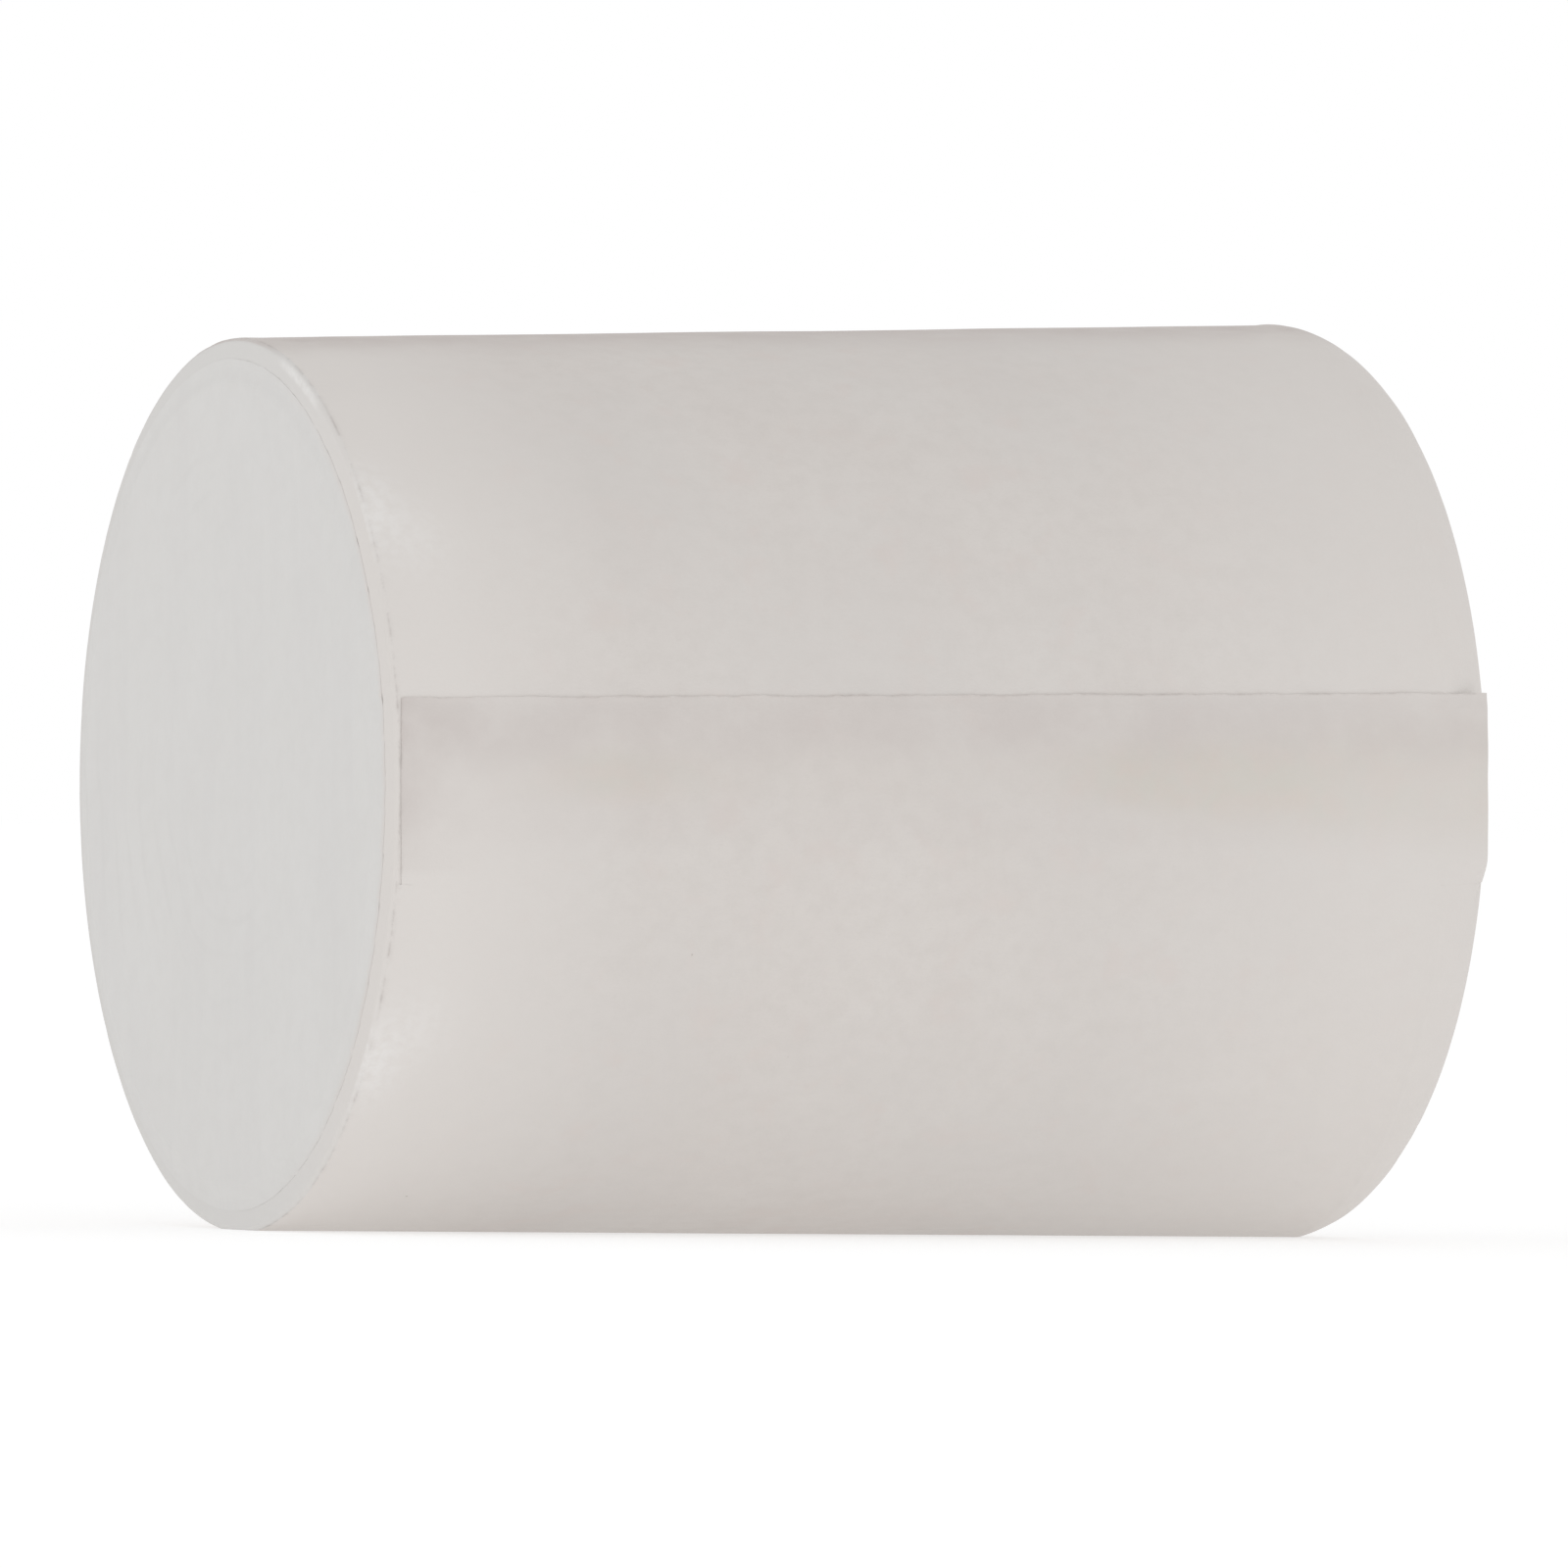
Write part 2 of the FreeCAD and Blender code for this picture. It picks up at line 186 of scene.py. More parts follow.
CREASES = [
    (-151 * MM, 63, 5 * MM, 0.9 * MM, -0.35 * MM),
    (-153 * MM, 45, 2.6 * MM, 1.2 * MM, -0.45 * MM),
    (-153.5 * MM, 33, 2.2 * MM, 1 * MM, -0.4 * MM),
    (-153 * MM, 22, 1.8 * MM, 1 * MM, -0.3 * MM),
    (-152.5 * MM, -27, 2.4 * MM, 1.1 * MM, -0.35 * MM),
    (-153 * MM, -48, 2.8 * MM, 1.2 * MM, -0.4 * MM),
    (-152 * MM, 84, 4 * MM, 1 * MM, -0.3 * MM),
    (-152 * MM, 132, 4 * MM, 1.2 * MM, -0.4 * MM),
    (-153 * MM, 171, 3 * MM, 1.2 * MM, -0.4 * MM),
    (-152 * MM, 214, 4 * MM, 1.2 * MM, -0.4 * MM),
    (146 * MM, 112, 6 * MM, 1.6 * MM, -0.5 * MM),
    (145 * MM, 158, 7 * MM, 1.8 * MM, -0.5 * MM),
    (147 * MM, 52, 5 * MM, 1.6 * MM, -0.35 * MM),
    (146 * MM, -52, 6 * MM, 1.6 * MM, -0.4 * MM),
    (145 * MM, 208, 7 * MM, 1.8 * MM, -0.5 * MM),
]


def surface_lift(along, angle, points):
    """How far the slack paper stands off the true cone; the same for every layer at a place."""
    lift = 0.22 * MM * rough(points, 70 * MM, 1) + 0.09 * MM * rough(points, 24 * MM, 2)
    near_left = ease(-118 * MM, -153 * MM, along)
    near_right = ease(120 * MM, 150 * MM, along)
    lift += near_left * (0.10 * MM * rough(points, 9 * MM, 3) + 0.05 * MM * rough(points, 4 * MM, 4))
    lift += near_right * (0.22 * MM * rough(points, 16 * MM, 5) + 0.06 * MM * rough(points, 6 * MM, 6))
    for spot in SOFT_LUMPS + CREASES:
        lift += lump(along, angle, spot)
    return lift


# --- Wrapper --------------------------------------------------------------------------------------------
LEFT_RIM = 1.5 * MM             # rounding of the crisp rim
RIGHT_RIM = 18 * MM             # rounding of the slack rim
RIM_BAND = 9 * MM               # band of the left end face inside the rim
FOLD_THICKNESS = 1.2 * MM
FOLD_STAGGER = 2 * MM
FLAT_LEFT, FLAT_RIGHT = -132 * MM, 118 * MM     # the side between these places has wider spaced points
INNER_END = -17.5               # the wrapper's hidden start, under its own climb onto the lap
OUTER_END = HINGES[0] - 0.9     # where the lap takes over from the wrapper
CLIMB = 4.6                     # degrees in which the wrapper climbs from its own start to the lap's height
PULL_START, PULL_END = -14.2, -8.8      # angles between which the lap pulls the slack rim straight
EDGE_PRESS = 0.38 * MM          # how far the lap's cut edges are pressed down onto the wrapper
TUCK = 0.2 * MM                 # how far the hidden start lies under the turn over it
EVEN_START, EVEN_END = -8, 322  # angles between which the wrapper's rows are evenly spaced
PLEATS = {-1: 64, 1: 52}        # folds in each end of the wrapper
PLEAT_STEP = 0.45 * MM          # height from one side of a pleat to the other
FRONT_REACH = 62                # degrees from the front within which things count as at the front

# Marks on the paper, and painted shade
CREASE_SHADE = 0.8            # how dark the painted shade in the pleats' creases is
RIM_SHADE = 0.6               # how dark the painted shade line round the crisp rim is
RIM_LINE = 0.33 * MM            # half width of that line
TOP_SHADE_STRENGTH = 0.9                      # how dark the painted shade over the top of the roll is
TOP_SHADE_ANGLES = (70, 86, 94, 116)     # where the painted shade over the top begins, is full, starts to fade and ends
TOP_SHADE_FREE = (3 * MM, 13 * MM)       # from the right end face: none of it, all of it
RIM_SCUFFS = [(66, 7), (-66, 6)]    # angles and half widths of the rim's pale worn patches
SCUFF_STRENGTH = 0.75
# Pale rubbed spots on the side: place along, angle, half size along, half size around, strength
RUBBED_SPOTS = [
    (-153 * MM, 38, 7 * MM, 14 * MM, 0.6),
    (-142 * MM, 33, 10 * MM, 12 * MM, 0.26),
    (-153 * MM, -38, 7 * MM, 14 * MM, 0.6),
    (-143 * MM, -32, 10 * MM, 12 * MM, 0.26),
]

# Angles of the wrapper's rows, closer together where the wrapper climbs
wrapper_angles = np.concatenate([
    np.linspace(INNER_END, OUTER_END, 12, endpoint=False),
    np.linspace(OUTER_END, EVEN_START, 10, endpoint=False),
    np.linspace(EVEN_START, EVEN_END, 380, endpoint=False),
    np.linspace(EVEN_END, OUTER_END + FULL_TURN, 75),
])


def rim_arc(top):
    """Points round the crisp left rim, from the end face to the side."""
    return [
        (-FOLD_FACE + LEFT_RIM * (1 - math.cos(turn)), top - LEFT_RIM * (1 - math.sin(turn)),
         -math.cos(turn), math.sin(turn))
        for turn in np.linspace(0, math.pi / 2, 6)
    ]


def wrapper_profile():
    """Lengthwise line of the wrapper: place along, radius, outward direction of each point."""
    left_top, right_top = outside(-FOLD_FACE), outside(FOLD_FACE)
    stations = []

    def add(along, radius, along_out, radius_out):
        stations.append((along, radius, along_out, radius_out))

    add(-FOLD_FACE + FOLD_THICKNESS, HOLE[-1] - FOLD_STAGGER, 0, -1)
    near_rim = left_top - RIM_BAND
    for radius in np.linspace(HOLE[-1], near_rim, 22, endpoint=False):
        add(-FOLD_FACE, radius, -1, 0)
    for radius in np.linspace(near_rim, left_top - LEFT_RIM, 14, endpoint=False):
        add(-FOLD_FACE, radius, -1, 0)
    stations.extend(rim_arc(left_top))
    last = FOLD_FACE - RIGHT_RIM
    for low, high, count in (
        (-FOLD_FACE + LEFT_RIM, FLAT_LEFT, 24), (FLAT_LEFT, FLAT_RIGHT, 112), (FLAT_RIGHT, last, 14),
    ):
        for along in np.linspace(low, high, count)[1:]:
            add(along, outside(along), 0, 1)
    lap_turn = math.asin((LAP_END - last) / RIGHT_RIM)
    shoulder = np.concatenate([
        np.linspace(0, lap_turn, 14)[1:],
        np.linspace(lap_turn + 0.02, math.pi / 2, 14),
    ])
    for turn in shoulder:
        add(last + RIGHT_RIM * math.sin(turn), right_top - RIGHT_RIM * (1 - math.cos(turn)),
            math.sin(turn), math.cos(turn))
    for radius in np.linspace(right_top - RIGHT_RIM, HOLE[1], 20)[1:]:
        add(FOLD_FACE, radius, 1, 0)
    add(FOLD_FACE - FOLD_THICKNESS, HOLE[1] - FOLD_STAGGER, 0, -1)
    return np.array(stations)


def length_along(profile):
    """Distance along the profile from its first point, for each point."""
    steps = np.hypot(np.diff(profile[:, 0]), np.diff(profile[:, 1]))
    return np.concatenate([[0], np.cumsum(steps)])


def pressed_left(from_left):
    """Share of the pressing down near the lap's left edge."""
    return ease(4 * MM, 0.8 * MM, from_left)


def shoulder_drop(along):
    """How far the slack rim's rounding lies under the straight side at a place."""
    past = np.clip(along - (FOLD_FACE - RIGHT_RIM), 0, RIGHT_RIM)
    arc = RIGHT_RIM - np.sqrt(RIGHT_RIM ** 2 - past ** 2)
    return arc + np.where(past > 0, outside(along) - outside(FOLD_FACE), 0)


def face_rim(end):
    """Radius at which an end face meets the rounding of its rim."""
    return outside(end * FOLD_FACE) - (LEFT_RIM if end < 0 else RIGHT_RIM)


def pleat(end, radius, angle):
    """Share of the way in from the rim to the hole, and share of the way across one pleat."""
    inward = np.clip((face_rim(end) - radius) / (face_rim(end) - HOLE[end]), 0, 1)
    wander = 1.3 * np.sin(np.radians(angle) * 7 + end) + 0.8 * np.sin(np.radians(angle) * 17)
    phase = angle / FULL_TURN * PLEATS[end] + 1.6 * end * inward + 0.12 * wander
    return inward, phase - np.floor(phase)


def pleat_depth(end, radius, angle):
    """How far the folded pleats lie under the end face; nothing at the rim, most near the hole."""
    inward, across = pleat(end, radius, angle)
    return ease(0.02, 0.35, inward) * (0.15 * MM + PLEAT_STEP * across) + 0.06 * MM * across


def at_front(angle):
    """1 over the front of the roll, fading to 0 over its top, bottom and back."""
    from_front = (angle + FULL_TURN / 2) % FULL_TURN - FULL_TURN / 2
    return np.exp(-(from_front / FRONT_REACH) ** 4)


def pulled_straight(profile, past):
    """The profile's columns where the lap pulls the slack rim straight; past is the angle less one turn."""
    along, radius, along_out, radius_out = profile.T.copy()
    under_lap = (along > 0) & (along < LAP_END + HAIR)
    straight = ease(PULL_START, PULL_END, past) * under_lap
    radius += straight * (outside(along) - radius)
    radius_out += straight * (1 - radius_out)
    along_out *= 1 - straight
    return along, radius, along_out, radius_out


def wrapper_row(profile, angle):
    """Places of the wrapper's points at one angle, with the marks and painted shade on its paper there."""
    past = angle - FULL_TURN
    along, radius, along_out, radius_out = pulled_straight(profile, past)
    on_lap = ease(LAP_START - 0.4 * MM, LAP_START, along) * (along < LAP_END + HAIR)
    rise = LAP_RISE - EDGE_PRESS * pressed_left(along - LAP_START)
    climb = ease(OUTER_END - CLIMB, OUTER_END, past) * rise * on_lap
    tuck = -TUCK * ease(OUTER_END, OUTER_END - 1, angle)
    lift = surface_lift(along, angle, place(along, radius, angle)) * np.abs(radius_out) + climb + tuck
    creased = np.zeros(len(along))
    for end in (-1, 1):
        on_face = along_out * end > 0.99
        lift[on_face] -= pleat_depth(end, radius[on_face], angle)
        inward, across = pleat(end, radius[on_face], angle)
        # painted shade in the pleats' creases
        at_crease = ease(0.3, 0, np.minimum(across, 1 - across))
        creased[on_face] = CREASE_SHADE * ease(0.1, 0.5, inward) * at_crease
    row = place(along + lift * along_out, radius + lift * radius_out, angle)
    row[:, 2] = np.maximum(row[:, 2], 0)

    # painted shade: a dark line along the crease of the crisp rim
    from_rim = along - (LEFT_RIM * 0.75 - FOLD_FACE)
    at_rim = np.exp(-(from_rim / RIM_LINE) ** 2) * (radius > outside(-FOLD_FACE) - LEFT_RIM)
    # painted shade over the top of the roll, kept off the right end face
    shade_start, shade_full, shade_fade, shade_end = TOP_SHADE_ANGLES
    top_shaded = ease(shade_start, shade_full, angle) * ease(shade_end, shade_fade, angle)
    off_right_face = ease(FOLD_FACE - TOP_SHADE_FREE[0], FOLD_FACE - TOP_SHADE_FREE[1], along)
    scuffed = sum(np.exp(-(((angle - middle) / half) ** 4)) for middle, half in RIM_SCUFFS)
    from_edge = outside(-FOLD_FACE) - profile[:, 1]
    on_rim = ease(3.6 * MM, 2.4 * MM, from_edge) * ease(0.25 * MM, 0.8 * MM, from_edge) * (along < 0)
    rubbed = sum(lump(along, angle, spot) for spot in RUBBED_SPOTS)
    off_left_face = along_out > -0.9
    around = np.full(len(along), math.radians(angle) * outside(0))
    marks = {
        "sheet": np.stack([length_along(profile), around, np.zeros(len(along))], axis=1),
        "stain": np.zeros(len(along)),
        "shade": RIM_SHADE * at_rim + creased,
        "broad_shade": TOP_SHADE_STRENGTH * top_shaded * off_right_face * off_left_face,
        "cool": (along_out < -0.3) * (1 - at_front(angle)),
        "scuff": SCUFF_STRENGTH * scuffed * on_rim + rubbed * off_left_face,
    }
    return row, marks


def make_wrapper():
    """One turn of the outer paper, folded in over both ends, that climbs onto the lap at its own end."""
    profile = wrapper_profile()
    rows = [wrapper_row(profile, angle) for angle in wrapper_angles]
    places = np.concatenate([row for row, _ in rows])
    labels = rows[0][1]
    attributes = {label: np.concatenate([marks[label] for _, marks in rows]) for label in labels}
    piece = make_mesh("wrapper_sheet", places, grid_faces(len(rows), len(profile)), attributes)
    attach(piece, "roll")
    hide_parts("wrapper")
    return piece


# --- Lap ------------------------------------------------------------------------------------------------
LAP_CELL = 0.6 * MM             # distance between the lap's points along the roll
EDGE_REACH = 6 * MM             # how far in from a cut edge its own shape fades out
LEFT_BOW, RIGHT_BOW = 0.95 * MM, 0.85 * MM      # how far the middles of the lap's cut edges lie to the left
EDGE_BAND = 0.45 * MM           # painted shade line at a cut edge
TOP_EDGE_SHADE, LEFT_EDGE_SHADE = 0.7, 0.45           # how dark that line is
SHADE_DEPTH = 9 * MM             # how far below the lap's top edge the painted shade is darkest
SHADE_FADE = 10 * MM             # how far in from its left edge the painted shade fades
LEFT_SHADE_START, LEFT_SHADE_FULL = OUTER_END + 0.5, OUTER_END + 2      # angles where the left edge's painted shade line begins
BEND_REACH = 3                  # degrees on either side of a hinge

lap_columns = np.linspace(LAP_START, LAP_END, int((LAP_END - LAP_START) / LAP_CELL))


def stain_strength(along, angle):
    """How strongly the glue has yellowed the paper, growing towards the right end."""
    growth = ease(0, 150 * MM, along)
    across = np.exp(-np.abs((angle - 1.6 + 1.2 * growth) / (3.2 + 3.6 * growth)) ** 3)
    right = ease(15 * MM, 70 * MM, along)
    patch = np.exp(-((along + 100 * MM) / (22 * MM)) ** 2)
    return across * (0.12 + 0.88 * right + 0.55 * patch)


def lap_painted_shade(from_top, from_left, angle):
    """How much painted shade darkens the lap's paper: a little all over its glued part, more a little below its
    top edge and near its left edge.
    """
    glued = ease(-10, -4, angle)
    under_seam = np.exp(-((from_top - SHADE_DEPTH) / SHADE_DEPTH) ** 2)
    near_left = np.exp(-from_left / SHADE_FADE)
    return glued * (0.14 + 0.36 * under_seam) + ease(-11.2, -10.2, angle) * 0.42 * near_left


def edge_shift(along, angle):
    """How far the lap's paper lies along from its place: its cut edges bow a little and waver."""
    wave = 0.15 * MM * rough(place(0, outside(0), angle), 7 * MM, 23)
    middle = 1 - (angle / LAP_TOP) ** 2
    at_left = ease(LAP_START + EDGE_REACH, LAP_START, along)
    at_right = ease(LAP_END - EDGE_REACH, LAP_END, along)
    left_shift = wave + 0.15 * MM - LEFT_BOW * middle
    right_shift = 0.5 * wave + 0.5 * MM - RIGHT_BOW * middle
    return at_left * left_shift + at_right * right_shift


def lap_row(angle, face, from_middle):
    """Places of the lap's points along one line of the sheet, with its marks and painted shade; face is 0 outside,
    1 inside.
    """
    along = lap_columns + edge_shift(lap_columns, angle)
    points = place(lap_columns, outside(lap_columns), angle)
    near_edge = ease(LAP_TOP - 2.6, LAP_TOP, angle)
    lift = surface_lift(along, angle, points) + near_edge * 0.10 * MM * rough(points, 12 * MM, 24)
    from_top = np.radians(LAP_TOP - angle) * outside(0)
    from_left = lap_columns - LAP_START
    lift -= EDGE_PRESS * np.maximum(ease(4.5 * MM, 1 * MM, from_top), pressed_left(from_left))
    slack = (1 - ease(PULL_START, PULL_END, angle)) * shoulder_drop(lap_columns)
    height = outside(lap_columns) - slack + LAP_RISE - face * LAP_SHEET + lift

    around = np.radians(angle + FULL_TURN) * outside(0)
    # painted shade lines along the lap's top and left cut edges, and broad painted shade over the lap
    at_left = ease(EDGE_BAND, 0, from_left) * ease(LEFT_SHADE_START, LEFT_SHADE_FULL, angle)
    none = np.zeros(len(along))
    marks = {
        "sheet": np.stack([along + from_middle, around, none + face], axis=1),
        "stain": stain_strength(along, angle) * (1 - 0.5 * face),
        "shade": np.maximum(TOP_EDGE_SHADE * ease(EDGE_BAND, 0, from_top), LEFT_EDGE_SHADE * at_left),
        "broad_shade": lap_painted_shade(from_top, from_left, angle),
        "cool": none,
        "scuff": none,
    }
    return place(along, height, angle), marks


def lap_strip(name, low, high, rows):
    """Closed-edged sheet between two angles; its free edges are thin and slightly ragged."""
    free = high >= LAP_TOP
    edge_points = place(lap_columns, outside(lap_columns), LAP_TOP)
    ragged = 0.30 * MM * rough(edge_points, 9 * MM, 21) + 0.16 * MM * rough(edge_points, 1.6 * MM, 22)
    ragged = np.degrees(ragged / outside(0))
    profile = wrapper_profile()
    from_middle = np.interp(0, profile[:, 0], length_along(profile))
    lines = []
    for face in (0, 1):
        for share in np.linspace(0, 1, rows):
            angle = np.full(len(lap_columns), low + (high - low) * share)
            if free:
                angle = angle + ragged * share ** 4
            lines.append(lap_row(angle, face, from_middle))
    columns = len(lap_columns)
    size = rows * columns
    faces = grid_faces(rows, columns) + grid_faces(rows, columns, first=size, flip=True)
    for row in range(rows - 1):
        for column, flip in ((0, False), (columns - 1, True)):
            here = row * columns + column
            face = (here, here + columns, here + columns + size, here + size)
            faces.append(face[::-1] if flip else face)
    if free:
        for column in range(columns - 1):
            here = (rows - 1) * columns + column
            faces.append((here, here + 1, here + 1 + size, here + size))
    places = np.concatenate([line for line, _ in lines])
    labels = lines[0][1]
    attributes = {label: np.concatenate([marks[label] for _, marks in lines]) for label in labels}
    piece = make_mesh(name, places, faces, attributes)
    mark_sharp(piece.data)
    return piece


def make_lap():
    """The loose edge of the wrapper, in three pieces that meet one after the next."""
    low_cut = (HINGES[0] + HINGES[1]) / 2
    high_cut = (HINGES[1] + HINGES[2]) / 2
    parts = [
        ("lap_sheet_lower", OUTER_END, low_cut, 10, "roll", "lap_lower_strip", "flap_root"),
        ("lap_sheet_middle", low_cut, high_cut, 18, "lap_lower_strip", "lap_middle_strip", "flap_middle"),
        ("lap_sheet_upper", high_cut, LAP_TOP, 42, "lap_middle_strip", "lap_upper_strip", "flap_tip"),
    ]
    made = []
    for (name, low, high, rows, below, above, node), hinge in zip(parts, HINGES):
        piece = lap_strip(name, low, high, rows)
        reach = min(hinge - low, BEND_REACH)
        start = place(0, outside(0), hinge - reach)[0]
        end = place(0, outside(0), hinge + reach)[0]
        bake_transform(piece)
        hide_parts(node)
        made.append(piece)
    return made


# --- End discs ------------------------------------------------------------------------------------------
PRESSED_BAND = 7 * MM       # band at a disc's rim that is pressed down onto the folds
FADE_BAND = 3 * MM          # band in which it takes on the folds' colour
DISC_EDGE = 0.08 * MM       # thickness that shows at its cut edge
DISC_COLUMNS = 300
DISC_WAVE = (-0.28 * MM, 0.05 * MM)     # how far its waves reach in and out
MIDDLE_DIMPLE = 0.1 * MM
# Shares of a disc's radius at which its rings of points lie, closer together at the rim
disc_shares = np.concatenate([np.linspace(0.02, 0.9, 34), np.linspace(0.92, 0.985, 10), [0.994, 1.0]])


def disc_ring(end, face, level, centre, size, share, trimmed):
    """Places, patterns and fading of one ring of a disc's points; face is 0 outside, 1 inside."""
    turns = np.linspace(0, 2 * math.pi, DISC_COLUMNS, endpoint=False)
    reach = (size + trimmed) * share
    front, up = centre[0] + reach * np.cos(turns), centre[1] + reach * np.sin(turns)
    radius, angle = np.hypot(front, up), np.degrees(np.arctan2(up, front))
    points = place(end * level, radius, angle)
    wave = 0.16 * MM * rough(points, 45 * MM, 35) + 0.05 * MM * rough(points, 11 * MM, 36)
    wave = np.clip(wave - 0.12 * MM, *DISC_WAVE)
    pressed = ease(size - PRESSED_BAND, size - PRESSED_BAND / 4, size * share)
    laid = FOLD_FACE - pleat_depth(end, radius, angle) + (HAIR if face else DISC_EDGE)
    out = level + wave + pressed * (laid - level - wave)
    pattern = np.stack([front, up, np.full(len(turns), end * (1.0 + face))], axis=1)
    fade = ease(size - FADE_BAND, size, size * share) * at_front(angle)
    return place(end * out, radius, angle), pattern, fade


def make_disc(side, end):
    """Thin paper disc, cut a little unevenly, that follows the folds under it."""
    node = f"end_disc_{side}"
    along, _, _ = measured(node)
    corners = np.array([corner.co for corner in frame["nodes"][node].data.vertices], float) - MIDDLE
    centre = [(corners @ way).min() / 2 + (corners @ way).max() / 2 for way in (FRONT, UP)]
    size = ((corners @ UP).max() - (corners @ UP).min()) / 2
    levels = (np.abs(along).max(), np.abs(along).min())
    rim_points = place(end * levels[0], size, np.linspace(0, FULL_TURN, DISC_COLUMNS, endpoint=False))
    trimmed = 0.35 * MM * rough(rim_points, 30 * MM, 31 + end)
    trimmed += 0.15 * MM * rough(rim_points, 5 * MM, 33 + end)
    rings = []
    for face, level in enumerate(levels):
        for share in disc_shares:
            rings.append(disc_ring(end, face, level, centre, size, share, trimmed))
    places, sheet, fade = (list(np.concatenate(parts)) for parts in zip(*rings))
    following = [(column + 1) % DISC_COLUMNS for column in range(DISC_COLUMNS)]
    ring_count = len(disc_shares)
    faces = []
    for face, level in enumerate(levels):
        base = face * ring_count * DISC_COLUMNS
        kept_way = (face == 0) == (end < 0)
        faces += grid_faces(ring_count, DISC_COLUMNS, first=base, flip=not kept_way, closed=True)
        middle = len(places)
        turn = math.degrees(math.atan2(centre[1], centre[0]))
        places.append(place(end * (level - MIDDLE_DIMPLE), math.hypot(*centre), turn)[0])
        sheet.append(np.array([*centre, end * (1.0 + face)]))
        fade.append(0)
        for column in range(DISC_COLUMNS):
            corner = (middle, base + following[column], base + column)
            faces.append(corner if kept_way else corner[::-1])
    outer, inner = (ring_count - 1) * DISC_COLUMNS, (2 * ring_count - 1) * DISC_COLUMNS
    for column in range(DISC_COLUMNS):
        quad = (outer + column, outer + following[column], inner + following[column], inner + column)
        faces.append(quad if end < 0 else quad[::-1])
    piece = make_mesh(f"disc_{side}", places, faces, {"sheet": sheet, "fade": fade})
    mark_sharp(piece.data)
    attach(piece, f"{side}_disc")
    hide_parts(node)
    return piece


# --- Glue -----------------------------------------------------------------------------------------------
SMEAR_WAVE = 3 * MM         # how far the edges of the glue on the folds waver
SMEAR_HEIGHT = 0.09 * MM
LINE_WAVE = 0.9             # degrees by which the edges of the glue under the lap waver
LINE_ROUNDING = 9 * MM      # length of that line's rounded ends


def make_disc_glue(side, end):
    """Flat smear of dried glue on the folds, with an uneven outline."""
    node = f"disc_glue_{side}"
    along, radius, _ = measured(node)
    level = np.abs(along).min()
    inner, outer = radius.min(), radius.max()
    turns = np.linspace(0, FULL_TURN, 260, endpoint=False)
    shares = np.linspace(0, 1, 14)
    reference = place(end * level, (inner + outer) / 2, turns)
    low = inner + SMEAR_WAVE * rough(reference, 20 * MM, 41) + 1.2 * MM
    high = outer - SMEAR_WAVE + SMEAR_WAVE * rough(reference, 16 * MM, 42)
    rows = []
    for share in shares:
        reach = low + (high - low) * share
        points = place(end * level, reach, turns)
        bead = SMEAR_HEIGHT * math.sin(math.pi * share) ** 0.4
        rows.append(place(end * (level + bead + 0.02 * MM * rough(points, 6 * MM, 43)), reach, turns))
    places = np.concatenate(rows)
    faces = grid_faces(len(shares), len(turns), flip=end > 0, closed=True)
    piece = make_mesh(f"glue_on_folds_{side}", places, faces, {"sheet": places})
    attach(piece, "roll")
    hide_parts(node)
    return piece


def make_lap_glue():
    """Line of glue on the wrapper under the lap."""
    along, _, angle = measured("lap_glue")
    columns = np.linspace(along.min(), along.max(), 320)
    reference = place(columns, outside(columns), 0)
    low = angle.min() + 0.8 + LINE_WAVE * rough(reference, 14 * MM, 51)
    high = angle.max() - 0.8 + LINE_WAVE * rough(reference, 11 * MM, 52)
    from_end = np.minimum(columns - along.min(), along.max() - columns)
    share_in = np.clip(from_end / LINE_ROUNDING, 0, 1)
    taper = np.sqrt(share_in * (2 - share_in))
    middle = (low + high) / 2
    low, high = middle + (low - middle) * taper, middle + (high - middle) * taper
    rows = []
    shares = np.linspace(0, 1, 16)
    for share in shares:
        turn = low + (high - low) * share
        points = place(columns, outside(columns), turn)
        bead = (0.04 + 0.08 * math.sin(math.pi * share) ** 0.5) * MM + 0.02 * MM * rough(points, 5 * MM, 53)
        lift = surface_lift(columns, turn, points)
        rows.append(place(columns, outside(columns) + lift + bead, turn))
    places = np.concatenate(rows)
    piece = make_mesh("glue_under_lap", places, grid_faces(len(shares), len(columns)), {"sheet": places})
    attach(piece, "roll")
    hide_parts("lap_glue")
    return piece


# --- Materials ------------------------------------------------------------------------------------------
SPAN_INPUTS = ("From Min", "From Max", "To Min", "To Max")

# Colours, as linear red, green and blue; each paper or board has its own colour, a darker and a lighter one
WRAP_TONES = {"colour": (0.655, 0.616, 0.588), "dark": (0.60, 0.563, 0.534), "light": (0.685, 0.655, 0.628)}
DISC_TONES = {"colour": (0.685, 0.674, 0.658), "dark": (0.65, 0.638, 0.622), "light": (0.705, 0.696, 0.684)}
CORE_TONES = {"colour": (0.42, 0.31, 0.205), "dark": (0.33, 0.235, 0.15), "light": (0.50, 0.385, 0.265)}
RING_TONES = {"colour": (0.50, 0.385, 0.255), "dark": (0.40, 0.30, 0.19), "light": (0.57, 0.45, 0.315)}
WHITE_TONES = {"colour": (0.80, 0.80, 0.79), "dark": (0.72, 0.715, 0.70), "light": (0.85, 0.85, 0.845)}
TAPE_TONES = {"colour": (0.72, 0.60, 0.37), "dark": (0.62, 0.50, 0.29), "light": (0.79, 0.69, 0.46)}
WRAPPER_DRIFT, WRAPPER_WARM = (0.64, 0.612, 0.59), (0.655, 0.595, 0.565)
WRAPPER_PALE, WRAPPER_COOL = (0.705, 0.672, 0.645), (0.665, 0.652, 0.636)
STAIN_YELLOW, STAIN_PINK = (0.598, 0.572, 0.512), (0.622, 0.56, 0.503)
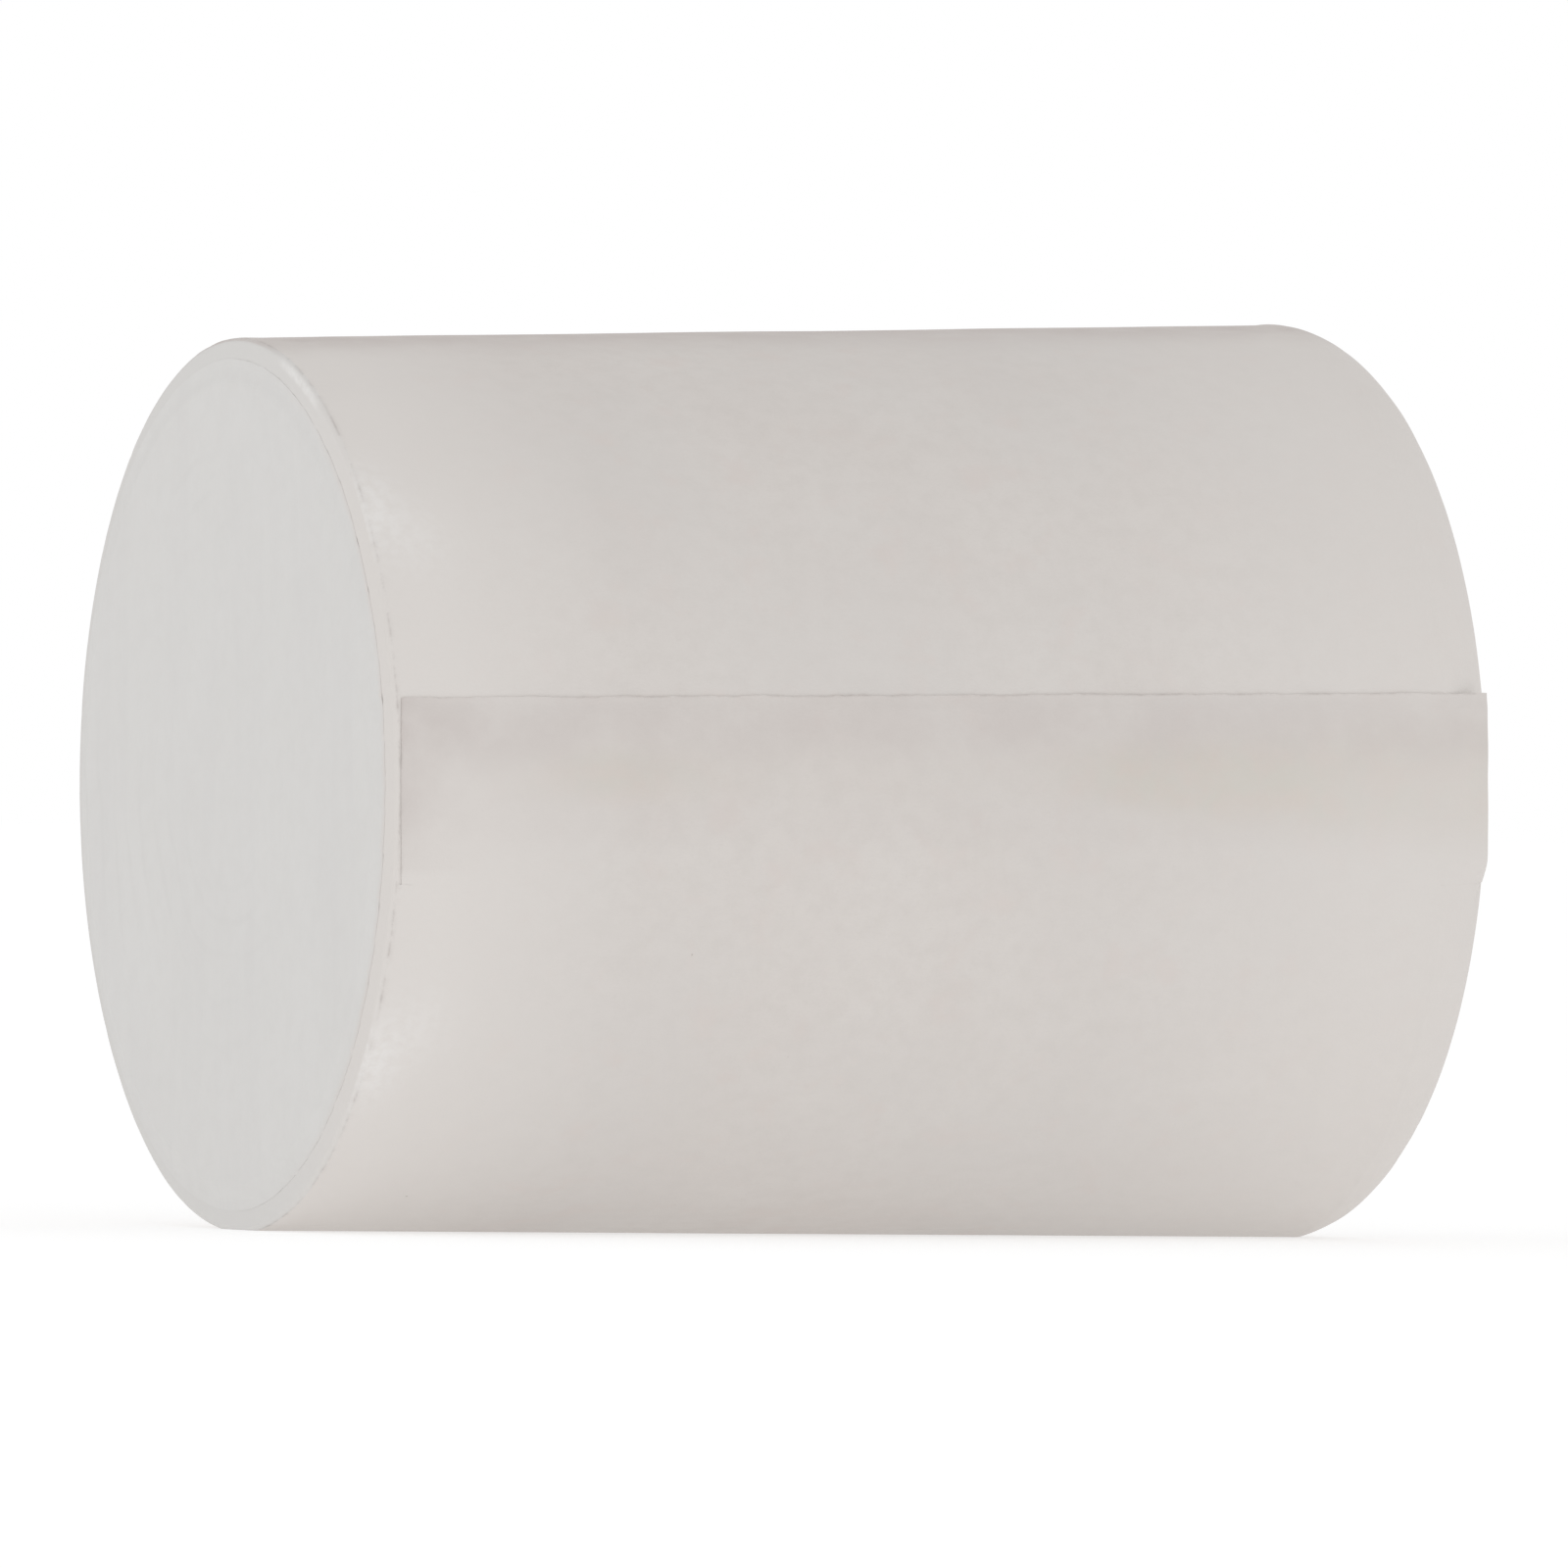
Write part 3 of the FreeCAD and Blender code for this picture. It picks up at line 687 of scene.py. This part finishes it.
# broad painted shade, painted shade lines, pale scuffs
BROAD_SHADE_TONE, PAINTED_SHADE_TONE, SCUFFED = (0.57, 0.522, 0.50), (0.36, 0.32, 0.30), (0.80, 0.785, 0.77)
DISC_STREAK, DISC_ARC, DISC_RIM = (0.658, 0.645, 0.635), (0.63, 0.62, 0.605), (0.675, 0.64, 0.615)
WRAPPER_SPECK, DISC_SPECK, RING_SPECK = (0.30, 0.25, 0.22), (0.42, 0.39, 0.36), (0.24, 0.17, 0.11)
CORE_SEAM, CORE_PLY = (0.20, 0.14, 0.09), (0.27, 0.19, 0.12)
TURN_LINE, TAPE_CREPE = (0.62, 0.61, 0.60), (0.60, 0.48, 0.27)
GLUE_PALE, GLUE_BROWN, GLUE_SMEAR = (0.62, 0.55, 0.43), (0.57, 0.46, 0.30), (0.66, 0.61, 0.52)

# Distances along the wrapper's sheet from its left edge, between which its side is paler at each end
PALE_LEFT, PALE_RIGHT = (0.07, 0.125), (0.26, 0.34)
STRIP_PITCH = 95 * MM       # along the core from one turn of its spiral seam to the next
PLY_PITCH = 0.6 * MM        # thickness of one ply of the core
TURN_PITCH = 0.5 * MM       # spacing of the rings that the wound turns show at the web's ends


class Shader:
    """Node tree of one material, with short calls for the nodes that the papers and boards share."""

    def __init__(self, name, roughness, specular=0.25):
        self.material = bpy.data.materials.new(name)
        self.material.use_nodes = True
        self.tree = self.material.node_tree
        self.surface = self.tree.nodes["Principled BSDF"]
        self.surface.inputs["Roughness"].default_value = roughness
        self.surface.inputs["Specular IOR Level"].default_value = specular

    def node(self, kind, **settings):
        made = self.tree.nodes.new(kind)
        for key, setting in settings.items():
            setattr(made, key, setting)
        return made

    def link(self, source, target):
        self.tree.links.new(source, target)

    def feed(self, target, value):
        if isinstance(value, bpy.types.NodeSocket):
            self.link(value, target)
        else:
            target.default_value = value

    def attribute(self, name, output):
        return self.node("ShaderNodeAttribute", attribute_name=name).outputs[output]

    def place(self):
        return self.node("ShaderNodeTexCoord").outputs["Object"]

    def stretched(self, vector, factors):
        mapping = self.node("ShaderNodeMapping")
        mapping.inputs["Scale"].default_value = factors
        self.link(vector, mapping.inputs["Vector"])
        return mapping.outputs["Vector"]

    def noise(self, vector, size, detail=3.0, roughness=0.55, distortion=0.0):
        """Noise whose features are about that many metres across."""
        made = self.node("ShaderNodeTexNoise")
        self.link(vector, made.inputs["Vector"])
        made.inputs["Scale"].default_value = 1 / size
        made.inputs["Detail"].default_value = detail
        made.inputs["Roughness"].default_value = roughness
        made.inputs["Distortion"].default_value = distortion
        return made.outputs["Fac"]

    def cells(self, vector, size):
        made = self.node("ShaderNodeTexVoronoi")
        self.link(vector, made.inputs["Vector"])
        made.inputs["Scale"].default_value = 1 / size
        return made

    def span(self, value, low, high, to_low=0.0, to_high=1.0):
        """Value carried from one span to another, held at its ends."""
        made = self.node("ShaderNodeMapRange")
        self.feed(made.inputs["Value"], value)
        for label, number in zip(SPAN_INPUTS, (low, high, to_low, to_high)):
            made.inputs[label].default_value = number
        return made.outputs["Result"]

    def maths(self, operation, first, second=0.0):
        made = self.node("ShaderNodeMath", operation=operation)
        self.feed(made.inputs[0], first)
        self.feed(made.inputs[1], second)
        return made.outputs["Value"]

    def mix(self, share, first, second):
        made = self.node("ShaderNodeMix", data_type="RGBA")
        self.feed(made.inputs[0], share)
        for target, colour in ((made.inputs[6], first), (made.inputs[7], second)):
            self.feed(target, colour if isinstance(colour, bpy.types.NodeSocket) else (*colour, 1.0))
        return made.outputs[2]

    def finish(self, colour, height=None, depth=0.05 * MM, roughness=None):
        self.link(colour, self.surface.inputs["Base Color"])
        if roughness is not None:
            self.link(roughness, self.surface.inputs["Roughness"])
        if height is not None:
            bump = self.node("ShaderNodeBump")
            bump.inputs["Strength"].default_value = 1.0
            bump.inputs["Distance"].default_value = depth
            self.link(height, bump.inputs["Height"])
            self.link(bump.outputs["Normal"], self.surface.inputs["Normal"])
        return self.material


def blotch(shader, where, size, detail, low, high, strongest=1.0, weakest=0.0):
    """Uneven strength of a mark: noise carried from one span to another."""
    return shader.span(shader.noise(where, size, detail=detail), low, high, weakest, strongest)


def paper_layers(shader, where, colour, dark, light, fibre=(1.0, 3.0, 1.0), strength=1.0):
    """Cloudy, mottled and fibrous paper: returns its colour and its relief."""
    cloud = shader.noise(where, 45 * MM, detail=3)
    mottle = shader.noise(where, 6 * MM, detail=4, roughness=0.6)
    fibres = shader.noise(shader.stretched(where, fibre), 1.6 * MM, detail=3, roughness=0.7, distortion=1.2)
    grain = shader.noise(where, 0.7 * MM, detail=2)
    tone = shader.mix(shader.span(cloud, 0.36, 0.64, 0.0, 0.5 * strength), colour, light)
    tone = shader.mix(shader.span(mottle, 0.42, 0.66, 0.0, 0.35 * strength), tone, dark)
    tone = shader.mix(shader.span(fibres, 0.5, 0.78, 0.0, 0.45 * strength), tone, dark)
    tone = shader.mix(shader.span(grain, 0.3, 0.7, 0.0, 0.22 * strength), tone, light)
    relief = shader.maths("ADD", shader.maths("MULTIPLY", fibres, 0.6), shader.maths("MULTIPLY", grain, 0.4))
    relief = shader.maths("ADD", relief, shader.maths("MULTIPLY", mottle, 0.4))
    return tone, relief


def specks(shader, where, tone, colour, size=26 * MM, radius=0.016):
    """Sparse dark specks."""
    spots = shader.cells(where, size)
    close = shader.span(spots.outputs["Distance"], radius, radius * 0.4)
    return shader.mix(shader.maths("MULTIPLY", close, 0.75), tone, colour)


def wrapper_material():
    """Off-white wrapping paper with its stains, worn rims and rubbed spots, and painted shade over its top, on the
    lap, in its creases, round its rim and along the lap's cut edges.
    """
    shader = Shader("wrapper_paper_look", roughness=0.88)
    where = shader.attribute("sheet", "Vector")
    tone, relief = paper_layers(shader, where, **WRAP_TONES)
    tone = shader.mix(blotch(shader, where, 120 * MM, 2, 0.4, 0.6, 0.5), tone, WRAPPER_DRIFT)
    tone = shader.mix(blotch(shader, where, 14 * MM, 3, 0.56, 0.7, 0.45), tone, WRAPPER_WARM)

    def mark(label, strength):
        return shader.maths("MULTIPLY", shader.attribute(label, "Fac"), strength)

    yellow = mark("stain", blotch(shader, where, 17 * MM, 4, 0.3, 0.6, weakest=0.6))
    blush = blotch(shader, where, 8 * MM, 3, 0.4, 0.6)
    tone = shader.mix(yellow, tone, shader.mix(blush, STAIN_YELLOW, STAIN_PINK))
    parts = shader.node("ShaderNodeSeparateXYZ")
    shader.link(where, parts.inputs[0])
    pale_left = shader.span(parts.outputs[0], *PALE_LEFT, 0.95, 0.0)
    pale_right = shader.span(parts.outputs[0], *PALE_RIGHT, 0.0, 0.6)
    tone = shader.mix(shader.maths("ADD", pale_left, pale_right), tone, WRAPPER_PALE)
    tone = shader.mix(shader.attribute("cool", "Fac"), tone, WRAPPER_COOL)
    # broad painted shade over the top of the roll and on the lap
    tone = shader.mix(mark("broad_shade", blotch(shader, where, 22 * MM, 5, 0.35, 0.6, 1.15, 0.55)), tone, BROAD_SHADE_TONE)
    tone = specks(shader, where, tone, WRAPPER_SPECK)

    # painted shade lines in the pleats' creases, round the crisp rim and along the lap's cut edges, broken up by
    # noise
    shade_breakup = shader.noise(where, 9 * MM, detail=6, roughness=0.75)
    tone = shader.mix(mark("shade", shader.span(shade_breakup, 0.44, 0.68)), tone, PAINTED_SHADE_TONE)
    tone = shader.mix(mark("scuff", blotch(shader, where, 3 * MM, 3, 0.35, 0.6, weakest=0.3)), tone, SCUFFED)
    rough_value = shader.span(shader.noise(where, 5 * MM), 0.3, 0.7, 0.82, 0.94)
    return shader.finish(tone, relief, 0.06 * MM, rough_value)


def disc_material():
    """Cooler white paper with faint streaks and arcs."""
    shader = Shader("disc_paper_look", roughness=0.9, specular=0.2)
    where = shader.attribute("sheet", "Vector")
    tone, relief = paper_layers(shader, where, **DISC_TONES, fibre=(2.0, 0.5, 1.0), strength=0.8)
    streak = shader.noise(shader.stretched(where, (1.0, 0.12, 1.0)), 14 * MM, detail=3)
    tone = shader.mix(shader.span(streak, 0.45, 0.7, 0.0, 0.35), tone, DISC_STREAK)
    wave = shader.node("ShaderNodeTexWave", wave_type="RINGS", rings_direction="Z")
    shader.link(where, wave.inputs["Vector"])
    for label, number in (("Scale", 30), ("Distortion", 4), ("Detail", 2)):
        wave.inputs[label].default_value = number
    arcs = shader.maths("MULTIPLY", shader.span(wave.outputs["Fac"], 0.8, 1.0),
                        shader.span(shader.noise(where, 60 * MM), 0.5, 0.65))
    tone = shader.mix(shader.maths("MULTIPLY", arcs, 0.2), tone, DISC_ARC)
    tone = specks(shader, where, tone, DISC_SPECK, size=34 * MM, radius=0.012)
    faded = shader.maths("MULTIPLY", shader.attribute("fade", "Fac"),
                         blotch(shader, where, 12 * MM, 4, 0.3, 0.6, weakest=0.4))
    tone = shader.mix(faded, tone, DISC_RIM)
    rough_value = shader.span(shader.noise(where, 6 * MM), 0.3, 0.7, 0.85, 0.95)
    return shader.finish(tone, relief, 0.05 * MM, rough_value)


def radius_and_turn(shader, where):
    """Distance from the roll's axis and share of a turn about it, close enough for a pattern."""
    parts = shader.node("ShaderNodeSeparateXYZ")
    shader.link(where, parts.inputs[0])
    height = shader.maths("SUBTRACT", parts.outputs[2], float(MIDDLE[2]))
    squares = shader.maths("ADD", shader.maths("MULTIPLY", parts.outputs[1], parts.outputs[1]),
                           shader.maths("MULTIPLY", height, height))
    turn = shader.maths("DIVIDE", shader.maths("ARCTAN2", height, parts.outputs[1]), 2 * math.pi)
    return shader.maths("SQRT", squares), turn, parts.outputs[0]


def core_material():
    """Board tube wound from overlapping spiral strips."""
    shader = Shader("core_board_look", roughness=0.82)
    where = shader.place()
    radius, turn, along = radius_and_turn(shader, where)
    strip = shader.maths("FRACT", shader.maths("ADD", shader.maths("DIVIDE", along, STRIP_PITCH), turn))
    tone, relief = paper_layers(shader, where, **CORE_TONES, fibre=(0.6, 2.5, 2.5), strength=1.3)
    seam = shader.span(strip, 0.0, 0.025, 1.0, 0.0)
    tone = shader.mix(shader.maths("MULTIPLY", seam, 0.75), tone, CORE_SEAM)
    plies = shader.maths("FRACT", shader.maths("DIVIDE", radius, PLY_PITCH))
    tone = shader.mix(shader.span(plies, 0.75, 1.0, 0.0, 0.25), tone, CORE_PLY)
    relief = shader.maths("SUBTRACT", relief, seam)
    return shader.finish(tone, relief, 0.15 * MM)


def ring_material():
    """Brown board with coarse fibres and specks."""
    shader = Shader("ring_board_look", roughness=0.85)
    where = shader.place()
    tone, relief = paper_layers(shader, where, **RING_TONES, fibre=(1.0, 0.5, 2.4), strength=1.4)
    tone = specks(shader, where, tone, RING_SPECK, size=7 * MM, radius=0.05)
    return shader.finish(tone, relief, 0.09 * MM)


def background_paper_material():
    """White paper whose ends show the turns as fine rings."""
    shader = Shader("background_paper_look", roughness=0.9)
    where = shader.place()
    radius, _, _ = radius_and_turn(shader, where)
    tone, relief = paper_layers(shader, where, **WHITE_TONES)
    turns = shader.maths("SINE", shader.maths("MULTIPLY", radius, 2 * math.pi / TURN_PITCH))
    tone = shader.mix(shader.span(turns, 0.2, 1.0, 0.0, 0.3), tone, TURN_LINE)
    relief = shader.maths("ADD", relief, turns)
    return shader.finish(tone, relief, 0.04 * MM)


def tape_material():
    """Creped masking tape."""
    shader = Shader("tape_paper_look", roughness=0.6, specular=0.4)
    where = shader.place()
    tone, relief = paper_layers(shader, where, **TAPE_TONES)
    crepe = shader.noise(shader.stretched(where, (0.25, 3.0, 3.0)), 1.2 * MM, detail=2)
    tone = shader.mix(shader.span(crepe, 0.5, 0.7, 0.0, 0.4), tone, TAPE_CREPE)
    return shader.finish(tone, shader.maths("ADD", relief, crepe), 0.12 * MM)


def glue_material():
    """Dried paste, smeared and slightly glossy."""
    shader = Shader("glue_look", roughness=0.45, specular=0.5)
    where = shader.place()
    smear = shader.noise(shader.stretched(where, (0.3, 2.0, 2.0)), 5 * MM, detail=4, distortion=1.0)
    tone = shader.mix(blotch(shader, where, 18 * MM, 3, 0.35, 0.65), GLUE_PALE, GLUE_BROWN)
    tone = shader.mix(shader.span(smear, 0.5, 0.75, 0.0, 0.5), tone, GLUE_SMEAR)
    return shader.finish(tone, smear, 0.12 * MM, shader.span(smear, 0.3, 0.7, 0.35, 0.6))


def dress(piece, material):
    piece.data.materials.clear()
    piece.data.materials.append(material)


# --- Studio ---------------------------------------------------------------------------------------------
FLOOR_REACH = 60.0          # radius of the floor
FLOOR_GREY = 0.60
FLOOR_GLOW = 0.49           # how strongly the floor shines of itself
HORIZON_LIGHT = 1.0
ZENITH_LIGHT = 0.81
HORIZON_HEIGHT, ZENITH_HEIGHT = 0.1, 0.8        # heights on a unit sphere at which those two hold
CAMERA_AZIMUTH = -22
CAMERA_DISTANCE = 7.2
VIEW_WIDTH = 0.4156         # width of the view at the roll's middle
SENSOR = 36


def make_floor():
    """Large pale floor, faintly lit of itself so that it runs into the background."""
    turns = np.linspace(0, 2 * math.pi, 96, endpoint=False)
    rim = [(FLOOR_REACH * math.cos(turn), FLOOR_REACH * math.sin(turn), 0.0) for turn in turns]
    floor = make_mesh("studio_floor", rim, [tuple(range(len(rim)))], {}, smooth=False)
    material = bpy.data.materials.new("studio_floor_look")
    material.use_nodes = True
    surface = material.node_tree.nodes["Principled BSDF"]
    surface.inputs["Base Color"].default_value = (FLOOR_GREY, FLOOR_GREY, FLOOR_GREY, 1)
    surface.inputs["Roughness"].default_value = 0.9
    surface.inputs["Specular IOR Level"].default_value = 0.0
    surface.inputs["Emission Color"].default_value = (1, 1, 1, 1)
    surface.inputs["Emission Strength"].default_value = FLOOR_GLOW
    dress(floor, material)


def make_world():
    """White surroundings, brightest at the horizon."""
    world = bpy.data.worlds.new("studio_surroundings")
    bpy.context.scene.world = world
    world.use_nodes = True
    tree = world.node_tree
    where = tree.nodes.new("ShaderNodeTexCoord")
    parts = tree.nodes.new("ShaderNodeSeparateXYZ")
    tree.links.new(where.outputs["Generated"], parts.inputs[0])
    fall = tree.nodes.new("ShaderNodeMapRange")
    tree.links.new(parts.outputs[2], fall.inputs["Value"])
    for label, number in zip(SPAN_INPUTS, (HORIZON_HEIGHT, ZENITH_HEIGHT, HORIZON_LIGHT, ZENITH_LIGHT)):
        fall.inputs[label].default_value = number
    tree.links.new(fall.outputs["Result"], tree.nodes["Background"].inputs["Strength"])
    tree.nodes["Background"].inputs["Color"].default_value = (1.0, 1.0, 1.0, 1)


def make_light(name, azimuth, elevation, distance, size, power):
    """Square soft white light aimed at the roll's middle."""
    data = bpy.data.lights.new(name, "AREA")
    data.shape = "SQUARE"
    data.size = size
    data.energy = power
    light = bpy.data.objects.new(name, data)
    bpy.context.scene.collection.objects.link(light)
    turn, rise = math.radians(azimuth), math.radians(elevation)
    away = Vector((math.sin(turn) * math.cos(rise), -math.cos(turn) * math.cos(rise), math.sin(rise)))
    light.location = Vector(MIDDLE) + away * distance
    light.rotation_mode = "QUATERNION"
    light.rotation_quaternion = away.to_track_quat("Z", "Y")


def make_camera():
    """Long lens level with the roll's middle, turned so that the roll's axis looks level."""
    data = bpy.data.cameras.new("camera")
    data.sensor_width = SENSOR
    data.lens = SENSOR * CAMERA_DISTANCE / VIEW_WIDTH
    data.clip_start, data.clip_end = 0.5, 200
    camera = bpy.data.objects.new("camera", data)
    bpy.context.scene.collection.objects.link(camera)
    turn = math.radians(CAMERA_AZIMUTH)
    away = Vector((math.sin(turn), -math.cos(turn), 0))
    across = away.cross(Vector(UP))
    across = -across.normalized()
    upright = away.cross(across).normalized()
    camera.matrix_world = Matrix.Translation(Vector(MIDDLE) + away * CAMERA_DISTANCE) @ Matrix(
        (across, upright, away)).transposed().to_4x4()
    bpy.context.scene.camera = camera


# --- Everything together --------------------------------------------------------------------------------
wrapper_look = wrapper_material()
dress(make_wrapper(), wrapper_look)
for strip in make_lap():
    dress(strip, wrapper_look)
disc_look, glue_look = disc_material(), glue_material()
for side, end in (("left", -1), ("right", 1)):
    dress(make_disc(side, end), disc_look)
    dress(make_disc_glue(side, end), glue_look)
dress(make_lap_glue(), glue_look)

core_look, ring_look, tape_look = core_material(), ring_material(), tape_material()
for node, look in (
    ("core_tube", core_look),
    ("inner_ring_left", ring_look),
    ("inner_ring_right", ring_look),
    ("core_start_tape", tape_look),
    ("tail_tape_left", tape_look),
    ("tail_tape_right", tape_look),
    ("paper_web", background_paper_material()),
):
    dress(frame["nodes"][node], look)

make_floor()
make_world()
make_light("soft_front_light", azimuth=-10, elevation=30, distance=4, size=2.6, power=6)
make_camera()
bpy.context.scene.view_settings.view_transform = "Standard"
